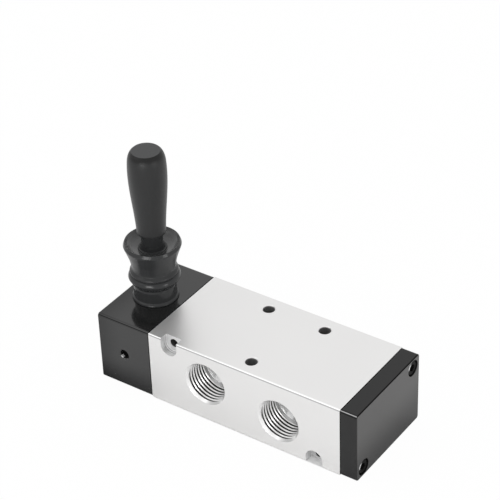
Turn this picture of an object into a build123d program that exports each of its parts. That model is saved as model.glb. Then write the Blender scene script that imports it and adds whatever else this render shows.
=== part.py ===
from build123d import *
import math
import os

# A five-port air valve worked by an upright hand lever, in millimetres.
# X runs along the valve with the lever housing at -X, the two work ports face -Y and Z is up.
# The origin lies on the bottom face, under the middle of the whole length.

# Housing
body_l = 98.0            # valve body, from seam to seam
body_w = 50.4
body_h = 35.0
head_l = 28.0            # lever housing
cap_l = 8.4              # end cap
body_edge_r = 0.6        # softened long edges of the body
end_edge_r = 1.4         # edges of the lever housing and the end cap that run along the valve
face_edge_r = 0.5        # rim of the two outer end faces

# Spool bore with its five ring-shaped galleries
bore_r = 8.0
gallery_r = 9.6
gallery_w = 6.0
gallery_pitch = 13.5

# Threaded ports: two work ports in front, supply and two exhausts behind
port_r = 10.4775         # major radius of a G 1/2 thread
port_depth = 13.5
port_cone = 1.5          # depth of the drilled floor below the wall
port_core_r = 9.3155     # minor radius of the thread, where the drilled floor starts
passage_r = 4.0          # drilled way from a port's floor into its gallery
work_pitch = 37.7
work_stagger = 3.9       # the left work port sits this much higher than the right one
work_shift = -0.65       # from the body's middle to the middle of the two work ports
back_pitch = 29.2

# Mounting holes
mount_r = 2.7            # three upright holes
mount_y = 17.5
mount_pitch = 29.2       # the two rear upright holes
mount_rim = 0.3          # chamfer at their mouths
corner_r = 2.05          # two cross holes in diagonal corners
corner_in_head = 10.8    # from the housing's seam to the upper hole's axis
corner_in_cap = 12.9     # from the cap's seam to the lower hole's axis
corner_drop = 3.5        # upper axis below the top face
corner_rise = 3.1        # lower axis above the bottom face
corner_head_r = 4.15     # round end of each pocket, which is open to the top or bottom face
corner_head_depth = 4.2

# Screws that hold the lever housing and the end cap
screw_r = 2.0
screw_grip = 5.2         # thread inside the body, short of the corner counterbores
screw_head_r = 3.5
screw_head_h = 4.0
screw_key_af = 3.0       # socket across flats
screw_key_depth = 2.0
screw_slack = 0.1        # radial room round a shank
recess_slack = 0.35      # radial room round a head
recess_depth = 4.4
screw_in_y = 5.35        # from the side face to the screw's axis
screw_in_z = 4.6         # from the top or bottom face to the screw's axis
screw_tip_gap = 0.3      # bottom of each tapped hole beyond the screw's end

# Flat seals at both seams
gasket_r0 = 9.4
gasket_r1 = 12.4
gasket_t = 1.0
gasket_slack = 0.1
guide_r = 9.3            # plastic ring that guides the spool, inside the housing's gasket
guide_slack = 0.1        # round the spool

# Lever, from its lower tip upwards
lever_x = 13.5           # from the outer face of the housing to the lever's axis
pivot_drop = 5.0         # from the top face down to the pivot ball's centre
tip_r = 3.0
tip_below = 3.0          # from the spool's axis down to the tip's centre
neck_r = 2.2
neck_cone_drop = 5.1     # the neck starts to widen this far below the pivot
neck_cone_h = 2.0
neck_top_r = 3.2
ball_r = 6.5
rod_r = 4.0
rod_stand = 57.5         # above the top face
lever_swing = 15.0       # degrees to each side

# Ball seat and collar nut
joint_gap = 0.05         # round the ball
seat_r = 8.4
seat_drop = 3.9          # bottom of the seat below the pivot
seat_gap = 0.3           # from the pivot's height to the seat and to the nut
seat_slack = 0.1
seat_step_r = 6.2        # opening below the seat
nut_seat_rise = 3.5      # end of the spherical part above the pivot
nut_stand = 6.0          # above the top face
nut_mouth_r = 7.45
nut_groove_r = 7.8       # groove that holds the boot's foot
nut_groove_z = 2.2
nut_groove_w = 1.5
nut_slot_w = 2.4         # two spanner slots
nut_slot_d = 1.6

# Rubber boot, heights above the top face
boot_foot_r = 10.1
boot_lip_h = 0.9
boot_wall_r = 9.6
boot_fold_z = 6.6        # shallow fold under the bead
boot_fold_r = 9.3
boot_fold_h = 0.5
boot_bead_r = 11.45
boot_bead_z = 11.3
boot_bead_h = 2.4        # half its height
boot_bead_fall = 0.75    # how far its edges lie inside its crest
boot_waist_r = 9.3
boot_waist_z = 15.0
boot_rim_r = 12.75       # widest ring
boot_rim_z = 27.8
boot_flare_bow = 0.4     # hollow of the flare between waist and rim
boot_top_r = 11.9        # inner and higher edge of the rounded rim
boot_top_z = 28.7
boot_top_bow = 0.2       # how far the rim's round stands out of its chord
boot_dish_bow = 0.6      # downward sag of the dish
boot_dish_r = 7.0
boot_dish_z = 25.0
boot_step_h = 0.7        # small ring at the root of the neck
boot_step_w = 1.0
boot_neck_r = 4.8
boot_neck_z = 28.0
boot_skin = 1.2
boot_nut_slack = 0.1
boot_rod_slack = 0.1

# Handle, heights above the top face
handle_z0 = 33.8
handle_z1 = 75.3
handle_foot_r = 6.5
handle_foot_edge = 0.5
handle_mid_r = 7.4
handle_mid_z = 47.0
handle_max_r = 8.6
handle_max_z = 63.5
handle_top_r = 6.4
handle_shoulder_z = 69.8
handle_shoulder_r = 8.42
insert_r = 5.6           # brass insert moulded into the handle
insert_l = 16.0
insert_z = 35.5          # height above the top face
insert_ring_w = 2.0      # three knurled rings
insert_ring_d = 0.4
insert_slack = 0.05
thread_slack = 0.05

# Spool
land_slack = 0.07        # radial clearance of the lands in the bore
waist_r = 4.6
end_land_l = 9.0
end_land_in = 5.5        # from each seam to the end land
seal_lead = 1.05         # from a gallery's edge to a seal at rest
seal_land_w = 3.2
seal_w = 1.5             # section of each seal ring
seal_slack = 0.03
seal_groove_w = 1.8
tail_r = 6.0
tail_slack = 0.5
tail_end = 5.9           # tail beyond the lever's axis
tail_full_l = 6.6        # full-width tail on the other side of the lever's axis
tail_hole_slack = 0.15   # round the lever's tip
tail_cone_z = 1.0        # below the spool's axis, where the hole starts to widen
tail_cone_r = 5.1        # its radius at the top of the tail
notch_depth = 0.8        # three detent notches
notch_w = 1.8
stop_gap = 0.35          # left at each end of the spool's travel

# Detent in the front of the lever housing
detent_r = 2.2
detent_rim = 0.4
detent_ball_r = 2.0
detent_ball_gap = 0.12   # ball clear of the tail
detent_screw_l = 6.0
detent_screw_in = 2.4    # below the front face
detent_screw_slack = 0.08
detent_key_af = 2.0
detent_key_depth = 2.2
spring_wire_r = 0.25
spring_turns = 5

# End bumper
bumper_r = 6.0
bumper_t = 3.0
bumper_proud = 0.6
bumper_slack = 0.1

# How far a cutting tool runs past the face that it opens
over = 1.0

# Stations worked out from the sizes above
left_x = -(head_l + body_l + cap_l) / 2
seam_x = left_x + head_l
cap_x = seam_x + body_l
right_x = cap_x + cap_l
mid_x = seam_x + body_l / 2
axis_z = body_h / 2
front_y = -body_w / 2
pivot_z = body_h - pivot_drop
tip_z = axis_z - tip_below
tip_drop = pivot_z - tip_z
seat_z0 = pivot_z - seat_drop
seat_z1 = pivot_z - seat_gap
nut_z0 = pivot_z + seat_gap
nut_seat_z = pivot_z + nut_seat_rise
neck_cone_z0 = pivot_z - neck_cone_drop
neck_cone_z1 = neck_cone_z0 + neck_cone_h
rod_top_z = body_h + rod_stand
stem_x = left_x + lever_x
travel = tip_drop * math.radians(lever_swing)
land_r = bore_r - land_slack
seal_r = bore_r - seal_slack
tail_x = stem_x - tail_end
spool_end_x = cap_x - bumper_proud - stop_gap - travel
screw_y = body_w / 2 - screw_in_y
screw_dz = body_h / 2 - screw_in_z


def bar_x(r, x0, x1, y=0.0, z=axis_z):
    """A round bar along X."""
    return Pos((x0 + x1) / 2, y, z) * Rot(0, 90, 0) * Cylinder(r, x1 - x0)


def bar_y(r, y0, y1, x, z):
    """A round bar along Y."""
    return Pos(x, (y0 + y1) / 2, z) * Rot(90, 0, 0) * Cylinder(r, y1 - y0)


def bar_z(r, z0, z1, x=stem_x, y=0.0):
    """A round bar along Z."""
    return Pos(x, y, (z0 + z1) / 2) * Cylinder(r, z1 - z0)


def taper_z(r0, r1, z0, z1, x=stem_x, y=0.0):
    """A round taper along Z, of radius r0 at z0 and r1 at z1."""
    return Pos(x, y, (z0 + z1) / 2) * Cone(r0, r1, z1 - z0)


def ball(r, x, y, z):
    """A ball."""
    return Pos(x, y, z) * Sphere(r)


def turned(outline, base_z):
    """Turns an outline of (radius, height) points or lines about the lever's axis."""
    face = make_face(outline)
    return Pos(stem_x, 0, base_z) * revolve(face, Axis.Z)


def flat_line(*points):
    """A polyline through (radius, height) points in the upright plane."""
    return Polyline(*[(r, 0, z) for r, z in points])


def end_holes(side):
    """Positions (y, z) of the two screws at one end: +1 is the end cap, -1 the lever housing."""
    return [(screw_y, axis_z + side * screw_dz), (-screw_y, axis_z - side * screw_dz)]


def ports():
    """Each port as (x, z, side, gallery x), with side -1 for the front and +1 for the back."""
    work_x = mid_x + work_shift
    front = [
        (work_x + s * work_pitch / 2, axis_z - s * work_stagger / 2, -1, mid_x + s * gallery_pitch)
        for s in (-1, 1)
    ]
    back = [
        (mid_x + s * back_pitch, axis_z, 1, mid_x + 2 * s * gallery_pitch) for s in (-1, 0, 1)
    ]
    return front + back


def port_cut(x, z, side, gallery_x):
    """The room of one port: threaded wall, drilled floor and the way into the gallery."""
    face = side * body_w / 2
    floor = face - side * port_depth
    ends = sorted((face, floor))
    wall = bar_y(port_r, ends[0], ends[1], x, z)
    cone_y = floor - side * port_cone / 2
    cone = Pos(x, cone_y, z) * Rot(side * 90, 0, 0) * Cone(port_core_r, passage_r, port_cone)
    reach = math.sqrt(gallery_r**2 - passage_r**2)
    way_ends = sorted((floor, side * reach))
    way = bar_y(passage_r, way_ends[0], way_ends[1], gallery_x, axis_z)
    return wall + cone + way


def corner_cut(x, z, open_z):
    """A cross hole with a round-ended pocket for its screw's head, open to the face at open_z."""
    pocket_y = front_y + corner_head_depth
    pocket = bar_y(corner_head_r, front_y, pocket_y, x, z)
    room = Box(2 * corner_head_r, corner_head_depth, abs(open_z - z))
    pocket += Pos(x, (front_y + pocket_y) / 2, (z + open_z) / 2) * room
    return bar_y(corner_r, front_y, body_w / 2, x, z) + pocket


def valve_body():
    """Machined block with the spool bore, galleries, ports and mounting holes."""
    block = Pos(mid_x, 0, axis_z) * Box(body_l, body_w, body_h)
    block = fillet(block.edges().filter_by(Axis.X), body_edge_r)
    cut = bar_x(bore_r, seam_x, cap_x)
    for i in range(-2, 3):
        middle = mid_x + i * gallery_pitch
        cut += bar_x(gallery_r, middle - gallery_w / 2, middle + gallery_w / 2)
    block -= cut
    for place in ports():
        block -= port_cut(*place)
    uprights = [(mid_x, -mount_y)] + [(mid_x + s * mount_pitch / 2, mount_y) for s in (-1, 1)]
    for x, y in uprights:
        block -= bar_z(mount_r, 0, body_h, x, y)
        block -= taper_z(mount_r, mount_r + mount_rim, body_h - mount_rim, body_h, x, y)
        block -= taper_z(mount_r + mount_rim, mount_r, 0, mount_rim, x, y)
    block -= corner_cut(seam_x + corner_in_head, body_h - corner_drop, body_h)
    block -= corner_cut(cap_x - corner_in_cap, corner_rise, 0)
    depth = screw_grip + screw_tip_gap
    for y, z in end_holes(-1):
        block -= bar_x(screw_r + screw_slack, seam_x, seam_x + depth, y, z)
    for y, z in end_holes(1):
        block -= bar_x(screw_r + screw_slack, cap_x - depth, cap_x, y, z)
    return block


def end_block(x0, x1, outer_x):
    """A block as wide and high as the body, rounded along its length and round its outer face."""
    block = Pos((x0 + x1) / 2, 0, axis_z) * Box(x1 - x0, body_w, body_h)
    block = fillet(block.edges().filter_by(Axis.X), end_edge_r)
    outer = block.faces().sort_by(lambda f: abs(f.center().X - outer_x))[0]
    return fillet(outer.edges(), face_edge_r)


def end_screw_room(x_face, x_seam, y, z):
    """Clearance hole and head recess of one end screw, from the outer face to the seam."""
    inwards = math.copysign(1, x_seam - x_face)
    ends = sorted((x_face, x_seam))
    recess = sorted((x_face, x_face + inwards * recess_depth))
    hole = bar_x(screw_r + screw_slack, ends[0], ends[1], y, z)
    return hole + bar_x(screw_head_r + recess_slack, recess[0], recess[1], y, z)


def lever_housing():
    """End block that carries the lever, the spool's tail and the detent."""
    head = end_block(left_x, seam_x, left_x)
    tail_room = bar_x(tail_r + tail_slack, tail_x - travel - stop_gap, seam_x)
    lever_room = bar_z(seat_step_r, axis_z, seat_z0) + bar_z(seat_r + seat_slack, seat_z0, body_h)
    head -= tail_room + lever_room
    head -= bar_x(gasket_r1 + gasket_slack, seam_x - gasket_t, seam_x)
    for y, z in end_holes(-1):
        head -= end_screw_room(left_x, seam_x, y, z)
    head -= bar_y(detent_r, front_y, -tail_r, stem_x, axis_z)
    mouth = Pos(stem_x, front_y + detent_rim / 2, axis_z) * Rot(90, 0, 0)
    return head - mouth * Cone(detent_r, detent_r + detent_rim, detent_rim)


def end_cap():
    """Plate that closes the bore and holds the bumper."""
    cap = end_block(cap_x, right_x, right_x)
    cap -= bar_x(gasket_r1 + gasket_slack, cap_x, cap_x + gasket_t)
    cap -= bar_x(bumper_r + bumper_slack, cap_x, cap_x + bumper_t - bumper_proud)
    for y, z in end_holes(1):
        cap -= end_screw_room(right_x, cap_x, y, z)
    return cap


def gasket(x0, x1):
    """Flat ring that seals a seam round the bore."""
    return bar_x(gasket_r1, x0, x1) - bar_x(gasket_r0, x0, x1)


def spool_guide():
    """Plastic ring in the housing's face that guides the spool's neck and stops its end land."""
    x0 = seam_x - gasket_t
    return bar_x(guide_r, x0, seam_x) - bar_x(waist_r + guide_slack, x0, seam_x)


def end_screw(x_face, x_seam, y, z):
    """Socket head screw from its recess into the body."""
    inwards = math.copysign(1, x_seam - x_face)
    under_head = x_face + inwards * recess_depth
    top = under_head - inwards * screw_head_h
    tip = x_seam + inwards * screw_grip
    head_ends = sorted((top, under_head))
    shank_ends = sorted((under_head, tip))
    head = bar_x(screw_head_r, head_ends[0], head_ends[1], y, z)
    shank = bar_x(screw_r, shank_ends[0], shank_ends[1], y, z)
    key = extrude(RegularPolygon(screw_key_af / 2, 6, major_radius=False), screw_key_depth)
    turn = Rot(0, 90, 0) if inwards > 0 else Rot(0, -90, 0)
    return head + shank - Pos(top, y, z) * turn * key


def seat_ring():
    """Plastic ring under the lever's ball."""
    ring = bar_z(seat_r, seat_z0, seat_z1)
    return ring - ball(ball_r + joint_gap, stem_x, 0, pivot_z)


def collar_nut():
    """Nut that holds the ball from above and carries the boot's foot."""
    top = body_h + nut_stand
    rise = nut_seat_z - pivot_z
    seat_mouth_r = math.sqrt((ball_r + joint_gap) ** 2 - rise**2)
    nut = bar_z(seat_r, nut_z0, top) - ball(ball_r + joint_gap, stem_x, 0, pivot_z)
    nut -= taper_z(seat_mouth_r, nut_mouth_r, nut_seat_z, top)
    groove_z = body_h + nut_groove_z
    groove = (groove_z, groove_z + nut_groove_w)
    nut -= bar_z(seat_r + over, *groove) - bar_z(nut_groove_r, *groove)
    slots = Pos(stem_x, 0, top - nut_slot_d / 2) * Box(nut_slot_w, 2 * seat_r, nut_slot_d)
    return nut - slots


def boot_outside():
    """Outer line of the boot, from the foot's outer corner up to the root of the neck."""
    fold_top = boot_fold_z + boot_fold_h
    bead_low = (boot_bead_r - boot_bead_fall, 0, boot_bead_z - boot_bead_h)
    bead_mid = (boot_bead_r, 0, boot_bead_z)
    bead_high = (boot_bead_r - boot_bead_fall, 0, boot_bead_z + boot_bead_h)
    foot = Polyline(
        (boot_foot_r, 0, 0),
        (boot_foot_r, 0, boot_lip_h),
        (boot_wall_r, 0, boot_lip_h + boot_fold_h),
        (boot_wall_r, 0, boot_fold_z - boot_fold_h),
        (boot_fold_r, 0, boot_fold_z),
        (boot_wall_r, 0, fold_top),
        bead_low,
    )
    bead = ThreePointArc(bead_low, bead_mid, bead_high)
    waist = Line(bead_high, (boot_waist_r, 0, boot_waist_z))
    flare_r = (boot_waist_r + boot_rim_r) / 2 - boot_flare_bow
    flare_mid = (flare_r, 0, (boot_waist_z + boot_rim_z) / 2)
    flare = ThreePointArc((boot_waist_r, 0, boot_waist_z), flare_mid, (boot_rim_r, 0, boot_rim_z))
    return foot + bead + waist + flare


def boot_inside_points():
    """Inner points of the boot, from the neck's top down to the foot's inner corner."""
    rod_bore = rod_r + boot_rod_slack
    nut_bore = seat_r + boot_nut_slack
    roof_z = boot_dish_z - boot_skin
    return [
        (rod_bore, handle_z0),
        (rod_bore, roof_z),
        (boot_dish_r - boot_skin, roof_z),
        (boot_rim_r - 2 * boot_skin, boot_rim_z - 3 * boot_skin),
        (boot_waist_r - boot_skin, boot_waist_z),
        (boot_bead_r - boot_skin, boot_bead_z),
        (nut_bore, boot_fold_z),
        (nut_bore, 0),
    ]


def rubber_boot():
    """Thin rubber cup that gaiters the lever, with a dished top and a neck round the rod."""
    rim_mid_r = (boot_rim_r + boot_top_r) / 2 + boot_top_bow
    rim_mid_z = (boot_rim_z + boot_top_z) / 2 + boot_top_bow
    rim_low = (boot_rim_r, 0, boot_rim_z)
    rim_high = (boot_top_r, 0, boot_top_z)
    rim = ThreePointArc(rim_low, (rim_mid_r, 0, rim_mid_z), rim_high)
    dish_z = (boot_top_z + boot_dish_z) / 2 - boot_dish_bow
    dish_mid = ((boot_top_r + boot_dish_r) / 2, 0, dish_z)
    dish = ThreePointArc(rim_high, dish_mid, (boot_dish_r, 0, boot_dish_z))
    step_z = boot_dish_z + boot_step_h
    neck = flat_line(
        (boot_dish_r, boot_dish_z),
        (boot_dish_r, step_z),
        (boot_dish_r - boot_step_w, step_z),
        (boot_neck_r, boot_neck_z),
        (boot_neck_r, handle_z0),
        *boot_inside_points(),
        (boot_foot_r, 0),
    )
    return turned(boot_outside() + rim + dish + neck, body_h)


def lever_rod():
    """Turned lever: tip, neck, pivot ball and rod in one piece."""
    rod = ball(tip_r, stem_x, 0, tip_z) + bar_z(neck_r, tip_z, neck_cone_z0)
    rod += taper_z(neck_r, neck_top_r, neck_cone_z0, neck_cone_z1)
    rod += ball(ball_r, stem_x, 0, pivot_z)
    rod += bar_z(rod_r, pivot_z, rod_top_z)
    return rod


def lever_handle():
    """Slim plastic handle, widest near the top, with a flat end."""
    foot_z = handle_z0 + handle_foot_edge
    side = Spline(
        (handle_foot_r, 0, foot_z),
        (handle_mid_r, 0, handle_mid_z),
        (handle_max_r, 0, handle_max_z),
        (handle_shoulder_r, 0, handle_shoulder_z),
    )
    shoulder = TangentArc(side @ 1, (handle_top_r, 0, handle_z1), tangent=side % 1)
    bore_r0 = rod_r + thread_slack
    rod_end = rod_top_z - body_h
    bore = flat_line(
        (handle_top_r, handle_z1),
        (0, handle_z1),
        (0, rod_end + thread_slack),
        (bore_r0, rod_end + thread_slack),
        (bore_r0, insert_z + insert_l),
        (insert_r + insert_slack, insert_z + insert_l),
        (insert_r + insert_slack, insert_z),
        (bore_r0, insert_z),
        (bore_r0, handle_z0),
        (handle_foot_r - handle_foot_edge, handle_z0),
        (handle_foot_r, foot_z),
    )
    return turned(side + shoulder + bore, body_h)


def handle_insert():
    """Brass bush inside the handle, with knurled rings that the plastic grips."""
    z0 = body_h + insert_z
    z1 = z0 + insert_l
    bush = bar_z(insert_r - insert_ring_d, z0, z1)
    step = (insert_l - insert_ring_w) / 2
    for i in range(3):
        bush += bar_z(insert_r, z0 + i * step, z0 + i * step + insert_ring_w)
    return bush - bar_z(rod_r + thread_slack, z0, z1)


def seal_stations():
    """(X, land length) of the six seal rings: beside the supply, beside the exhausts, at the ends."""
    inner = (gallery_w / 2 + seal_lead, seal_land_w)
    outer = (2 * gallery_pitch - gallery_w / 2 - seal_lead, seal_land_w)
    end = (body_l / 2 - end_land_in - end_land_l / 2, end_land_l)
    return [(mid_x + s * d, land_l) for s in (-1, 1) for d, land_l in (inner, outer, end)]


def spool():
    """Spool with its lands, and a tail that the lever's tip works in."""
    core = bar_x(waist_r, stem_x, spool_end_x) + bar_x(tail_r, tail_x, stem_x + tail_full_l)
    floor_r = seal_r - seal_w - seal_slack
    for x, land_l in seal_stations():
        core += bar_x(land_r, x - land_l / 2, x + land_l / 2)
    for x, _ in seal_stations():
        groove = (x - seal_groove_w / 2, x + seal_groove_w / 2)
        core -= bar_x(bore_r, *groove) - bar_x(floor_r, *groove)
    for i in (-1, 0, 1):
        core -= notch(stem_x + i * travel)
    hole_r = tip_r + tail_hole_slack
    slope = (tail_cone_r - hole_r) / (tail_r + tail_cone_z)
    mouth = taper_z(hole_r, tail_cone_r + slope * over, axis_z - tail_cone_z, axis_z + tail_r + over)
    return core - (bar_z(hole_r, axis_z - tail_r - over, axis_z) + mouth)


def notch(x):
    """A V-shaped ring round the tail."""
    half = notch_w / 2
    line = Polyline(
        (x - half, 0, tail_r),
        (x, 0, tail_r - notch_depth),
        (x + half, 0, tail_r),
        (x + half, 0, tail_r + notch_depth),
        (x - half, 0, tail_r + notch_depth),
        (x - half, 0, tail_r),
    )
    return Pos(0, 0, axis_z) * revolve(make_face(line), Axis.X)


def seal_ring(x):
    """Rubber ring in a spool groove."""
    return Pos(x, 0, axis_z) * Rot(0, 90, 0) * Torus(seal_r - seal_w / 2, seal_w / 2)


def detent_ball_y():
    """Where the ball's centre lies, clear of the tail."""
    return -(tail_r + detent_ball_gap + detent_ball_r)


def detent_screw():
    """Hollow-key grub screw that backs the detent spring."""
    y0 = front_y + detent_screw_in
    y1 = y0 + detent_screw_l
    screw = bar_y(detent_r - detent_screw_slack, y0, y1, stem_x, axis_z)
    key = extrude(RegularPolygon(detent_key_af / 2, 6, major_radius=False), detent_key_depth)
    return screw - Pos(stem_x, y0, axis_z) * Rot(-90, 0, 0) * key


def detent_spring():
    """Coil spring between the grub screw and the ball."""
    coil_r = detent_r - 2 * detent_screw_slack - 2 * spring_wire_r
    on_ball = math.sqrt((detent_ball_r + spring_wire_r) ** 2 - coil_r**2)
    y0 = front_y + detent_screw_in + detent_screw_l + spring_wire_r
    y1 = detent_ball_y() - on_ball
    length = y1 - y0
    path = Helix(length / spring_turns, length, coil_r)
    wire = Plane(origin=path @ 0, z_dir=path % 0) * Circle(spring_wire_r)
    coil = sweep(wire, path, is_frenet=True)
    return Pos(stem_x, y0, axis_z) * Rot(-90, 0, 0) * coil


def end_bumper():
    """Rubber disc that stops the spool at the end cap."""
    return bar_x(bumper_r, cap_x - bumper_proud, cap_x + bumper_t - bumper_proud)


def parts():
    """Every node with its solid, or a group of solids."""
    head_face = seam_x - gasket_t
    return {
        "valve_body": valve_body(),
        "lever_housing": lever_housing(),
        "end_cap": end_cap(),
        "housing_gasket": gasket(head_face, seam_x),
        "cap_gasket": gasket(cap_x, cap_x + gasket_t),
        "spool_guide": spool_guide(),
        "housing_screws": [end_screw(left_x, seam_x, y, z) for y, z in end_holes(-1)],
        "cap_screws": [end_screw(right_x, cap_x, y, z) for y, z in end_holes(1)],
        "ball_seat": seat_ring(),
        "collar_nut": collar_nut(),
        "rubber_boot": rubber_boot(),
        "detent_screw": detent_screw(),
        "detent_spring": detent_spring(),
        "detent_ball": ball(detent_ball_r, stem_x, detent_ball_y(), axis_z),
        "end_bumper": end_bumper(),
        "lever_rod": lever_rod(),
        "lever_handle": lever_handle(),
        "handle_insert": handle_insert(),
        "spool": spool(),
        "spool_seals": [seal_ring(x) for x, _ in seal_stations()],
    }


def main():
    os.makedirs("parts", exist_ok=True)
    for name, shape in parts().items():
        solid = Compound(children=shape) if isinstance(shape, list) else shape
        export_step(solid, f"parts/{name}.step")


main()
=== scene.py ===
# %% [markdown]
# # A hand lever air valve, dressed in Blender
# The valve is a pale aluminium block with a black end block under its lever and a black plate at the
# other end. The frame brings in every piece at its real size, in metres, with X along the valve, the
# two work ports facing -Y and Z up. This script keeps the pieces whose shape is already right, gives
# them a finish, and makes finer meshes for those that need threads, knurls or soft rubber curves.

# %% Load the frame
import bmesh
import bpy
import math
import numpy as np
from mathutils import Matrix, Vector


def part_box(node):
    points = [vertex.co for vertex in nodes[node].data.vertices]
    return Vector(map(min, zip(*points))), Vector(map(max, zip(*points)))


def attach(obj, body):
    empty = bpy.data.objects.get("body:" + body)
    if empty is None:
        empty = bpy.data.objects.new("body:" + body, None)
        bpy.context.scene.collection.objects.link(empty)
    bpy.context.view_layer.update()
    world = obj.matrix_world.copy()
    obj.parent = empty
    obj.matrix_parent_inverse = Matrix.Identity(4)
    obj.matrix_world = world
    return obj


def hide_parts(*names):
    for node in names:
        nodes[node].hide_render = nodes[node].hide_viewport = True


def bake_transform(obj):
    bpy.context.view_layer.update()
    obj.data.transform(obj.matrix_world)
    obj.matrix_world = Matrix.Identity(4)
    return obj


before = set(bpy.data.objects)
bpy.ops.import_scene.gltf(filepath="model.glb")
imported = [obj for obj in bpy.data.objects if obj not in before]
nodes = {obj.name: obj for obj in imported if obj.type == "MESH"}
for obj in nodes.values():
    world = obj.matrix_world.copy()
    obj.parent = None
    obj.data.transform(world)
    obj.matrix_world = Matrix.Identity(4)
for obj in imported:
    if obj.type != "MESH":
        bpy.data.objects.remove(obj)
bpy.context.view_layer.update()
MM = 0.001
print("pieces in the frame:", len(nodes))

# %% [markdown]
# ## Camera
# A long lens looks down on the valve from its front right corner, so that parallel edges stay nearly
# parallel. The camera turns round an aim point by an azimuth, an elevation and a small roll. Setting
# its matrix from three axes avoids any guess about the order in which angles are applied.

# %% Camera
view_azimuth = math.radians(35.6202)
view_elevation = math.radians(34.6103)
view_roll = math.radians(-2.1386)
view_distance = 0.91797
aim = np.array([-0.0528256, 0.0719642, 0.017])

flat_right = np.array([math.cos(view_azimuth), math.sin(view_azimuth), 0.0])
backwards = np.array([
    math.sin(view_azimuth) * math.cos(view_elevation),
    -math.cos(view_azimuth) * math.cos(view_elevation),
    math.sin(view_elevation),
])
flat_up = np.cross(backwards, flat_right)
right = math.cos(view_roll) * flat_right + math.sin(view_roll) * flat_up
up = -math.sin(view_roll) * flat_right + math.cos(view_roll) * flat_up

camera_data = bpy.data.cameras.new("camera")
camera_data.sensor_width = 36.0
camera_data.lens = 138.8945
camera_data.clip_start = 0.01
camera = bpy.data.objects.new("camera", camera_data)
bpy.context.scene.collection.objects.link(camera)
placing = np.eye(4)
placing[:3, :3] = np.column_stack([right, up, backwards])
placing[:3, 3] = aim + view_distance * backwards
camera.matrix_world = Matrix(placing.tolist())
bpy.context.scene.camera = camera
print("camera at", placing[:3, 3].round(4))

# %% [markdown]
# ## Writing shaders as sums
# A finish is a small network of nodes. Python's own operators make it readable: `Wire` wraps one
# socket, and adding or multiplying wires adds Math nodes. `Finish.node` adds any other node from its
# type, its settings and what goes into its sockets.

# %% Shader helpers
class Wire:
    """The output of a node. Sums and products of wires become Math nodes."""

    def __init__(self, finish, socket):
        self.finish = finish
        self.socket = socket

    def calc(self, operation, *values):
        """A Math node on the values given."""
        return self.finish.node("ShaderNodeMath", {"operation": operation}, dict(enumerate(values)))

    def alone(self, operation):
        """A Math node on this wire alone, such as its sine or its square root."""
        return self.calc(operation, self)

    def __add__(self, other):
        return self.calc("ADD", self, other)

    def __radd__(self, other):
        return self.calc("ADD", other, self)

    def __sub__(self, other):
        return self.calc("SUBTRACT", self, other)

    def __rsub__(self, other):
        return self.calc("SUBTRACT", other, self)

    def __mul__(self, other):
        return self.calc("MULTIPLY", self, other)

    def __rmul__(self, other):
        return self.calc("MULTIPLY", other, self)

    def ramp(self, low, high):
        """A smooth step from 0 at low to 1 at high, or the other way round where high is less."""
        inputs = {"Value": self, "From Min": low, "From Max": high}
        return self.finish.node("ShaderNodeMapRange", {"interpolation_type": "SMOOTHSTEP"}, inputs)

    def band(self, low, high, soft, soft_high=None):
        """1 between low and high and 0 outside, with a smooth step of width soft inside each end."""
        return self.ramp(low, low + soft) * self.ramp(high, high - (soft_high or soft))

    def most(self, other):
        """The greater of two wires."""
        return self.calc("MAXIMUM", self, other)


class Finish:
    """A material, or the world, that is built up node by node."""

    def __init__(self, name, owner=None):
        self.owner = owner or bpy.data.materials.new(name)
        self.owner.use_nodes = True
        self.tree = self.owner.node_tree
        self.tree.nodes.clear()

    def node(self, kind, settings=None, inputs=None, output=0):
        """Adds a node: its settings first, then its sockets by name or number. Returns one output."""
        made = self.tree.nodes.new(kind)
        for key, value in (settings or {}).items():
            setattr(made, key, value)
        for key, value in (inputs or {}).items():
            if isinstance(value, Wire):
                self.tree.links.new(value.socket, made.inputs[key])
            else:
                made.inputs[key].default_value = value
        if not made.outputs:
            return None
        return Wire(self, made.outputs[output])

    def place(self, stretch=(1.0, 1.0, 1.0)):
        """The point on the object, in metres, stretched along its axes."""
        point = self.node("ShaderNodeTexCoord", output="Object")
        return self.node("ShaderNodeMapping", {}, {"Vector": point, "Scale": stretch})

    def axes(self):
        """X, Y and Z on the object as three wires, in millimetres."""
        point = self.node("ShaderNodeTexCoord", output="Object")
        return [value * (1 / MM) for value in self.split(point)]

    def split(self, vector):
        """The three numbers of a vector."""
        return [self.node("ShaderNodeSeparateXYZ", {}, {0: vector}, output=k) for k in range(3)]

    def drawn(self):
        """The first two numbers of the UV map that a piece carries, as two wires."""
        return self.split(self.node("ShaderNodeUVMap", {"uv_map": "groove"}))[:2]

    def noise(self, grain, detail=2.0, stretch=(1.0, 1.0, 1.0)):
        """Smooth noise from 0 to 1 whose blobs are about grain metres across."""
        inputs = {"Vector": self.place(stretch), "Scale": 1.0 / grain, "Detail": detail}
        return self.node("ShaderNodeTexNoise", {}, inputs)

    def tint(self, share, dark, light):
        """A colour between dark and light."""
        settings = {"data_type": "RGBA"}
        return self.node("ShaderNodeMix", settings, {0: share, 6: dark, 7: light}, output=2)

    def bump(self, height, depth):
        """A normal from a height of 0 to 1 that stands for depth metres."""
        return self.node("ShaderNodeBump", {}, {"Height": height, "Distance": depth})

    def close(self, **sockets):
        """Ends the network in one Principled shader."""
        inputs = {key.replace("_", " "): value for key, value in sockets.items()}
        shader = self.node("ShaderNodeBsdfPrincipled", {}, inputs)
        self.node("ShaderNodeOutputMaterial", {}, {"Surface": shader})
        return self.owner


def grey(level, warmth=0.0):
    """A near-neutral colour, a little redder than blue where warmth is positive."""
    return (level * (1 + warmth), level, level * (1 - warmth), 1.0)


def squares(a, b):
    """The sum of two squares, for wires."""
    return a * a + b * b


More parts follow.
